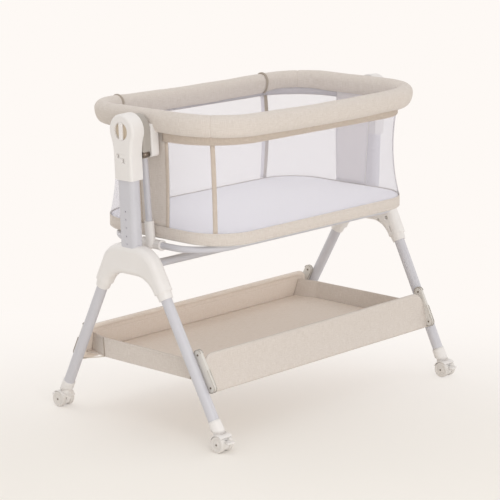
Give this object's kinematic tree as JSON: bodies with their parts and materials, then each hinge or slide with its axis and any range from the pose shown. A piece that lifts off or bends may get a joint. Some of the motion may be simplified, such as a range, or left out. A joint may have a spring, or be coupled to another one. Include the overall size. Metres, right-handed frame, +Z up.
{
  "type": "bedside sleeper crib",
  "caption": "Bedside crib with padded rim, mesh walls and a fold-down side, rocking between two height-adjustable wheeled end frames over a storage basket.",
  "frame": {"origin": "on the floor, under the middle of the crib", "axes": "+X along the crib, +Y towards the drop side, +Z up"},
  "size_m": [1.0488, 0.6832, 0.863],
  "materials": {
    "white_plastic": "satin moulded",
    "wheel_plastic": "smooth",
    "grey_plastic": "satin moulded",
    "grey_tube": "powder coated",
    "steel": "plated",
    "linen": "woven linen look",
    "mesh": "open knitted mesh",
    "mattress_cover": "soft knit",
    "board": "plain panel"
  },
  "bodies": {
    "frame": {"left_hub_outer_shell": "white_plastic", "left_hub_inner_shell": "white_plastic", "left_column": "grey_tube", "right_hub_outer_shell": "white_plastic", "right_hub_inner_shell": "white_plastic", "right_column": "grey_tube", "left_front_leg": "grey_tube", "left_back_leg": "grey_tube", "right_front_leg": "grey_tube", "right_back_leg": "grey_tube", "foot_caps": "white_plastic", "leg_collars": "white_plastic", "hub_screws": "steel", "crossbar": "grey_tube", "basket_front_frame": "grey_tube", "basket_back_frame": "grey_tube", "basket_cloth": "linen", "basket_brackets": "white_plastic", "basket_cords": "linen"},
    "left_riser": {"left_riser_tube": "grey_tube", "left_head_housing": "white_plastic", "left_head_cover": "white_plastic"},
    "left_grip": {"left_height_grip": "white_plastic"},
    "left_lock": {"left_lock_pin": "steel"},
    "left_slider": {"left_lock_slider": "white_plastic"},
    "right_riser": {"right_riser_tube": "grey_tube", "right_head_housing": "white_plastic", "right_head_cover": "white_plastic"},
    "right_grip": {"right_height_grip": "white_plastic"},
    "right_lock": {"right_lock_pin": "steel"},
    "right_slider": {"right_lock_slider": "white_plastic"},
    "crib": {"rim_tube": "grey_tube", "rim_pad": "linen", "side_mesh": "mesh", "end_panels": "linen", "wall_bindings": "linen", "bottom_band": "linen", "base_board": "board", "mattress": "mattress_cover", "base_ring": "grey_tube", "ring_fittings": "white_plastic", "end_posts": "grey_tube", "end_brackets": "white_plastic", "pivot_barrels": "grey_plastic"},
    "drop_side": {"drop_rim_tube": "grey_tube", "drop_rim_pad": "linen", "drop_mesh": "mesh", "drop_binding": "linen"},
    "left_front_fork": {"left_front_caster_fork": "white_plastic"},
    "left_front_wheels": {"left_front_caster_wheels": "wheel_plastic"},
    "left_front_brake": {"left_front_caster_brake": "white_plastic"},
    "left_back_fork": {"left_back_caster_fork": "white_plastic"},
    "left_back_wheels": {"left_back_caster_wheels": "wheel_plastic"},
    "left_back_brake": {"left_back_caster_brake": "white_plastic"},
    "right_front_fork": {"right_front_caster_fork": "white_plastic"},
    "right_front_wheels": {"right_front_caster_wheels": "wheel_plastic"},
    "right_front_brake": {"right_front_caster_brake": "white_plastic"},
    "right_back_fork": {"right_back_caster_fork": "white_plastic"},
    "right_back_wheels": {"right_back_caster_wheels": "wheel_plastic"},
    "right_back_brake": {"right_back_caster_brake": "white_plastic"}
  },
  "joints": [
    {"name": "left_height", "type": "slide", "parent": "frame", "child": "left_riser", "axis": [-0.0379, 0, 0.9993], "range_m": [0, 0.088]},
    {"name": "right_height", "type": "slide", "parent": "frame", "child": "right_riser", "axis": [0.0379, 0, 0.9993], "range_m": [0, 0.088]},
    {"name": "left_height_grip_pull", "type": "slide", "parent": "left_riser", "child": "left_grip", "axis": [-0.9993, 0, -0.0379], "range_m": [0, 0.005], "stiffness_N_per_m": 500, "springref_m": -0.002},
    {"name": "right_height_grip_pull", "type": "slide", "parent": "right_riser", "child": "right_grip", "axis": [0.9993, 0, -0.0379], "range_m": [0, 0.005], "stiffness_N_per_m": 500, "springref_m": -0.002},
    {"name": "left_lock_pin_pull", "type": "slide", "parent": "left_riser", "child": "left_lock", "axis": [-0.9993, 0, -0.0379], "range_m": [0, 0.012]},
    {"name": "right_lock_pin_pull", "type": "slide", "parent": "right_riser", "child": "right_lock", "axis": [0.9993, 0, -0.0379], "range_m": [0, 0.012]},
    {"name": "left_lock_slide", "type": "slide", "parent": "left_riser", "child": "left_slider", "axis": [0, 1, 0], "range_m": [0, 0.008]},
    {"name": "right_lock_slide", "type": "slide", "parent": "right_riser", "child": "right_slider", "axis": [0, 1, 0], "range_m": [0, 0.008]},
    {"name": "crib_rock", "type": "hinge", "parent": "left_riser", "child": "crib", "pos_m": [-0.47, 0, 0.81342], "axis": [1, 0, 0], "range_deg": [-3.5, 3.5]},
    {"name": "drop_side_fold", "type": "hinge", "parent": "crib", "child": "drop_side", "pos_m": [0, 0.246, 0.547], "axis": [-1, 0, 0], "range_deg": [0, 150]},
    {"name": "left_front_caster_swivel", "type": "hinge", "parent": "frame", "child": "left_front_fork", "pos_m": [-0.47097, -0.29235, 0.052], "axis": [0, 0, 1], "continuous": true},
    {"name": "left_front_wheel_spin", "type": "hinge", "parent": "left_front_fork", "child": "left_front_wheels", "pos_m": [-0.47097, -0.30635, 0.022], "axis": [1, 0, 0], "continuous": true},
    {"name": "left_front_brake_press", "type": "hinge", "parent": "left_front_fork", "child": "left_front_brake", "pos_m": [-0.47097, -0.31865, 0.02968], "axis": [1, 0, 0], "range_deg": [0, 12]},
    {"name": "left_back_caster_swivel", "type": "hinge", "parent": "frame", "child": "left_back_fork", "pos_m": [-0.47097, 0.29235, 0.052], "axis": [0, 0, 1], "continuous": true},
    {"name": "left_back_wheel_spin", "type": "hinge", "parent": "left_back_fork", "child": "left_back_wheels", "pos_m": [-0.47097, 0.30635, 0.022], "axis": [1, 0, 0], "continuous": true},
    {"name": "left_back_brake_press", "type": "hinge", "parent": "left_back_fork", "child": "left_back_brake", "pos_m": [-0.47097, 0.31865, 0.02968], "axis": [-1, 0, 0], "range_deg": [0, 12]},
    {"name": "right_front_caster_swivel", "type": "hinge", "parent": "frame", "child": "right_front_fork", "pos_m": [0.47097, -0.29235, 0.052], "axis": [0, 0, 1], "continuous": true},
    {"name": "right_front_wheel_spin", "type": "hinge", "parent": "right_front_fork", "child": "right_front_wheels", "pos_m": [0.47097, -0.30635, 0.022], "axis": [1, 0, 0], "continuous": true},
    {"name": "right_front_brake_press", "type": "hinge", "parent": "right_front_fork", "child": "right_front_brake", "pos_m": [0.47097, -0.31865, 0.02968], "axis": [1, 0, 0], "range_deg": [0, 12]},
    {"name": "right_back_caster_swivel", "type": "hinge", "parent": "frame", "child": "right_back_fork", "pos_m": [0.47097, 0.29235, 0.052], "axis": [0, 0, 1], "continuous": true},
    {"name": "right_back_wheel_spin", "type": "hinge", "parent": "right_back_fork", "child": "right_back_wheels", "pos_m": [0.47097, 0.30635, 0.022], "axis": [1, 0, 0], "continuous": true},
    {"name": "right_back_brake_press", "type": "hinge", "parent": "right_back_fork", "child": "right_back_brake", "pos_m": [0.47097, 0.31865, 0.02968], "axis": [-1, 0, 0], "range_deg": [0, 12]}
  ],
  "couplings": [
    {"joint": "right_height", "follows": "left_height", "ratio": 1},
    {"joint": "left_lock_pin_pull", "follows": "left_lock_slide", "ratio": 1.5},
    {"joint": "right_lock_pin_pull", "follows": "right_lock_slide", "ratio": 1.5}
  ]
}
